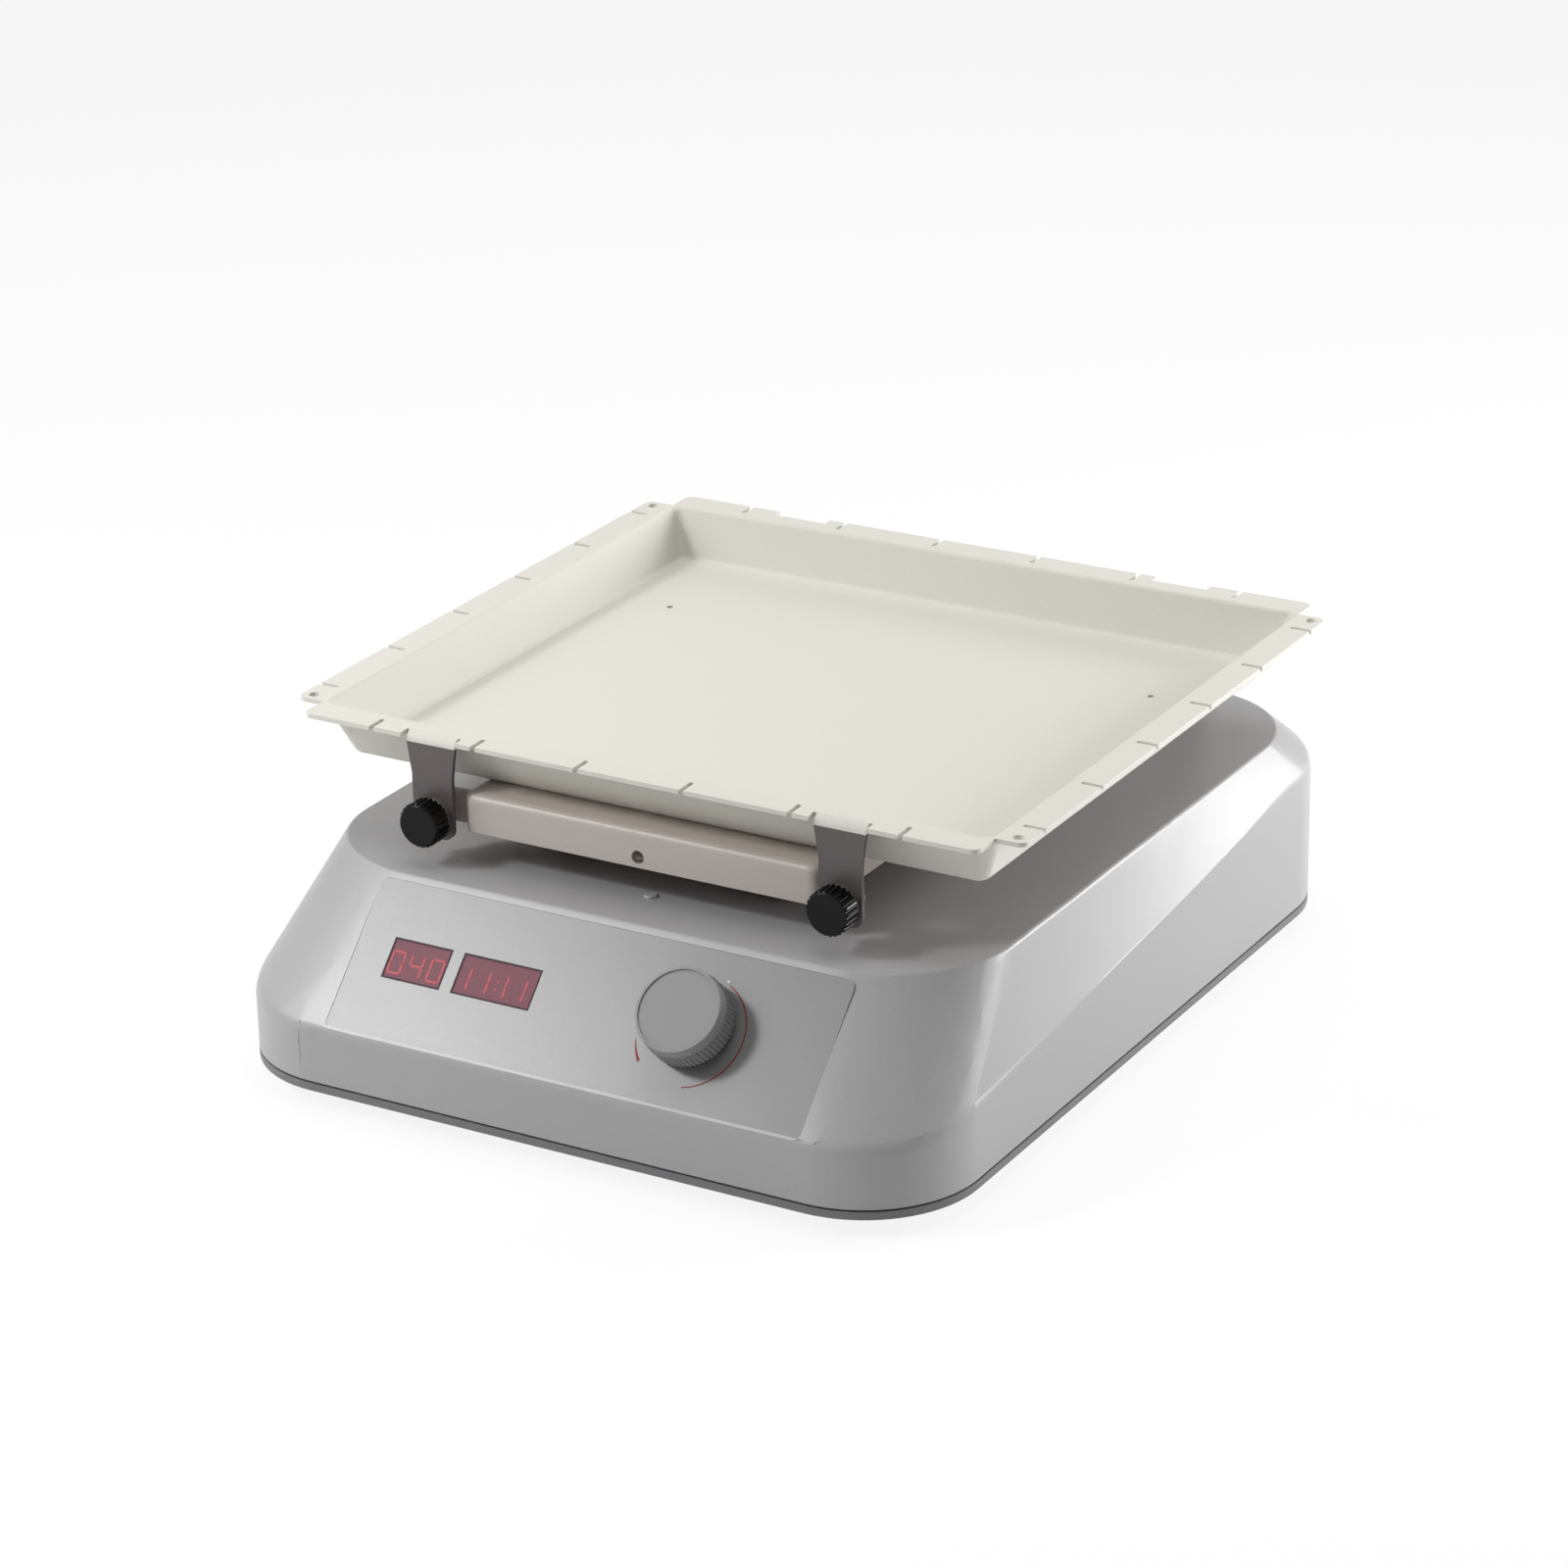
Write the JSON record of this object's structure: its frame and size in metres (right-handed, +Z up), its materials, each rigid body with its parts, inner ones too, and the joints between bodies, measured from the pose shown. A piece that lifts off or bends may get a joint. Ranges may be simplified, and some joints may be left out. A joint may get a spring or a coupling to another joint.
{
  "type": "orbital shaker",
  "caption": "Bench orbital shaker: a folded tray clamped by thumb screws to a carrier that circles on four cranks over a wedge-fronted housing with display windows and a knob.",
  "frame": {"origin": "on the floor under the middle of the base", "axes": "+Z up, the operator's side with the knob and displays faces -Y, +X to the operator's right"},
  "size_m": [0.3506, 0.411, 0.1474],
  "materials": {
    "silver_paint": "satin silver-grey paint",
    "panel_film": "silver printed film",
    "smoked_window": "smoked red-black window",
    "dark_plastic": "black moulded plastic",
    "knob_grey": "satin silver-grey plastic",
    "circuit_board": "green solder mask",
    "zinc_steel": "bright zinc plating",
    "machined_steel": "ground steel",
    "grey_plate": "grey coated steel sheet",
    "tray_paint": "warm off-white powder coat",
    "carrier_paint": "warm grey powder coat",
    "black_knob": "gloss black plastic on a steel screw",
    "washer_steel": "plain steel",
    "foot_rubber": "black rubber",
    "belt_rubber": "black rubber",
    "cast_aluminium": "cast and turned aluminium",
    "motor_paint": "dark grey enamel",
    "plug_plastic": "grey plastic",
    "contact_brass": "plain brass"
  },
  "bodies": {
    "base": {"base_plate": "grey_plate", "base_screws": "zinc_steel", "board_screws": "zinc_steel", "control_board": "circuit_board", "crank_seals": "foot_rubber", "display_modules": "dark_plastic", "display_windows": "smoked_window", "drive_belt": "belt_rubber", "drive_tower": "cast_aluminium", "encoder_body": "plug_plastic", "encoder_nut": "zinc_steel", "housing": "silver_paint", "idler_towers": "cast_aluminium", "inlet_pins": "contact_brass", "mains_inlet": "dark_plastic", "motor_can": "motor_paint", "motor_plate": "grey_plate", "motor_posts": "zinc_steel", "motor_screws": "zinc_steel", "motor_stator": "motor_paint", "panel_overlay": "panel_film", "power_board": "circuit_board", "power_board_posts": "zinc_steel", "power_parts": "plug_plastic", "power_switch_frame": "dark_plastic", "rear_panel": "grey_plate", "rear_screws": "zinc_steel", "rubber_feet": "foot_rubber", "switch_terminals": "contact_brass", "top_plug": "plug_plastic", "tower_bearings": "machined_steel", "tower_bolts": "zinc_steel"},
    "drive": {"drive_crank": "machined_steel", "drive_pulley": "cast_aluminium", "counterweight": "grey_plate", "counterweight_bolts": "zinc_steel"},
    "idler_left": {"idler_crank_left": "machined_steel"},
    "idler_right": {"idler_crank_right": "machined_steel"},
    "idler_rear": {"idler_crank_rear": "machined_steel"},
    "motor": {"motor_rotor": "motor_paint", "motor_shaft": "machined_steel", "motor_pulley": "cast_aluminium"},
    "carrier": {"carrier_pan": "carrier_paint", "bearing_cups": "carrier_paint", "carrier_bearings": "machined_steel", "clamp_bars": "carrier_paint", "tray": "tray_paint"},
    "encoder_push": {"encoder_plunger": "zinc_steel"},
    "knob": {"encoder_shaft": "zinc_steel", "speed_knob": "knob_grey"},
    "rocker": {"power_rocker": "dark_plastic"},
    "washer_front_left": {"thumb_washer_front_left": "washer_steel"},
    "screw_front_left": {"thumb_screw_front_left": "black_knob"},
    "washer_front_right": {"thumb_washer_front_right": "washer_steel"},
    "screw_front_right": {"thumb_screw_front_right": "black_knob"},
    "washer_rear_left": {"thumb_washer_rear_left": "washer_steel"},
    "screw_rear_left": {"thumb_screw_rear_left": "black_knob"},
    "washer_rear_right": {"thumb_washer_rear_right": "washer_steel"},
    "screw_rear_right": {"thumb_screw_rear_right": "black_knob"}
  },
  "joints": [
    {"name": "drive_spin", "type": "hinge", "parent": "base", "child": "drive", "pos_m": [0, 0.0125, 0.076], "axis": [0, 0, 1], "continuous": true},
    {"name": "carrier_orbit", "type": "hinge", "parent": "drive", "child": "carrier", "pos_m": [0, 0.022, 0.113], "axis": [0, 0, 1], "continuous": true},
    {"name": "idler_left_spin", "type": "hinge", "parent": "base", "child": "idler_left", "pos_m": [-0.046, -0.0755, 0.076], "axis": [0, 0, 1], "continuous": true},
    {"name": "idler_right_spin", "type": "hinge", "parent": "base", "child": "idler_right", "pos_m": [0.046, -0.0755, 0.076], "axis": [0, 0, 1], "continuous": true},
    {"name": "idler_rear_spin", "type": "hinge", "parent": "base", "child": "idler_rear", "pos_m": [0, 0.1165, 0.076], "axis": [0, 0, 1], "continuous": true},
    {"name": "motor_spin", "type": "hinge", "parent": "base", "child": "motor", "pos_m": [0.098, 0.075, 0.069], "axis": [0, 0, 1], "continuous": true},
    {"name": "knob_press", "type": "slide", "parent": "base", "child": "encoder_push", "axis": [0, 0.7171, -0.697], "range_m": [0, 0.0006], "stiffness_N_per_m": 4000, "springref_m": -0.0005},
    {"name": "knob_turn", "type": "hinge", "parent": "encoder_push", "child": "knob", "pos_m": [0.0534, -0.17746, 0.06532], "axis": [0, -0.7171, 0.697], "continuous": true},
    {"name": "power_rock", "type": "hinge", "parent": "base", "child": "rocker", "pos_m": [-0.022, 0.198, 0.044], "axis": [-1, 0, 0], "range_deg": [0, 16]},
    {"name": "screw_front_left_travel", "type": "slide", "parent": "carrier", "child": "washer_front_left", "axis": [0, -1, 0], "range_m": [0, 0.007]},
    {"name": "screw_front_left_turn", "type": "hinge", "parent": "washer_front_left", "child": "screw_front_left", "pos_m": [-0.0985, -0.135, 0.1109], "axis": [0, -1, 0], "range_deg": [0, 2518]},
    {"name": "screw_front_right_travel", "type": "slide", "parent": "carrier", "child": "washer_front_right", "axis": [0, -1, 0], "range_m": [0, 0.007]},
    {"name": "screw_front_right_turn", "type": "hinge", "parent": "washer_front_right", "child": "screw_front_right", "pos_m": [0.0985, -0.135, 0.1109], "axis": [0, -1, 0], "range_deg": [0, 2518]},
    {"name": "screw_rear_left_travel", "type": "slide", "parent": "carrier", "child": "washer_rear_left", "axis": [0, 1, 0], "range_m": [0, 0.007]},
    {"name": "screw_rear_left_turn", "type": "hinge", "parent": "washer_rear_left", "child": "screw_rear_left", "pos_m": [-0.0985, 0.179, 0.1109], "axis": [0, 1, 0], "range_deg": [0, 2518]},
    {"name": "screw_rear_right_travel", "type": "slide", "parent": "carrier", "child": "washer_rear_right", "axis": [0, 1, 0], "range_m": [0, 0.007]},
    {"name": "screw_rear_right_turn", "type": "hinge", "parent": "washer_rear_right", "child": "screw_rear_right", "pos_m": [0.0985, 0.179, 0.1109], "axis": [0, 1, 0], "range_deg": [0, 2518]}
  ],
  "couplings": [
    {"joint": "carrier_orbit", "follows": "drive_spin", "ratio": -1},
    {"joint": "idler_left_spin", "follows": "drive_spin", "ratio": 1},
    {"joint": "idler_right_spin", "follows": "drive_spin", "ratio": 1},
    {"joint": "idler_rear_spin", "follows": "drive_spin", "ratio": 1},
    {"joint": "motor_spin", "follows": "drive_spin", "ratio": 5},
    {"joint": "screw_front_left_travel", "follows": "screw_front_left_turn", "m_per_rad": 0.00015915},
    {"joint": "screw_front_right_travel", "follows": "screw_front_right_turn", "m_per_rad": 0.00015915},
    {"joint": "screw_rear_left_travel", "follows": "screw_rear_left_turn", "m_per_rad": 0.00015915},
    {"joint": "screw_rear_right_travel", "follows": "screw_rear_right_turn", "m_per_rad": 0.00015915}
  ]
}
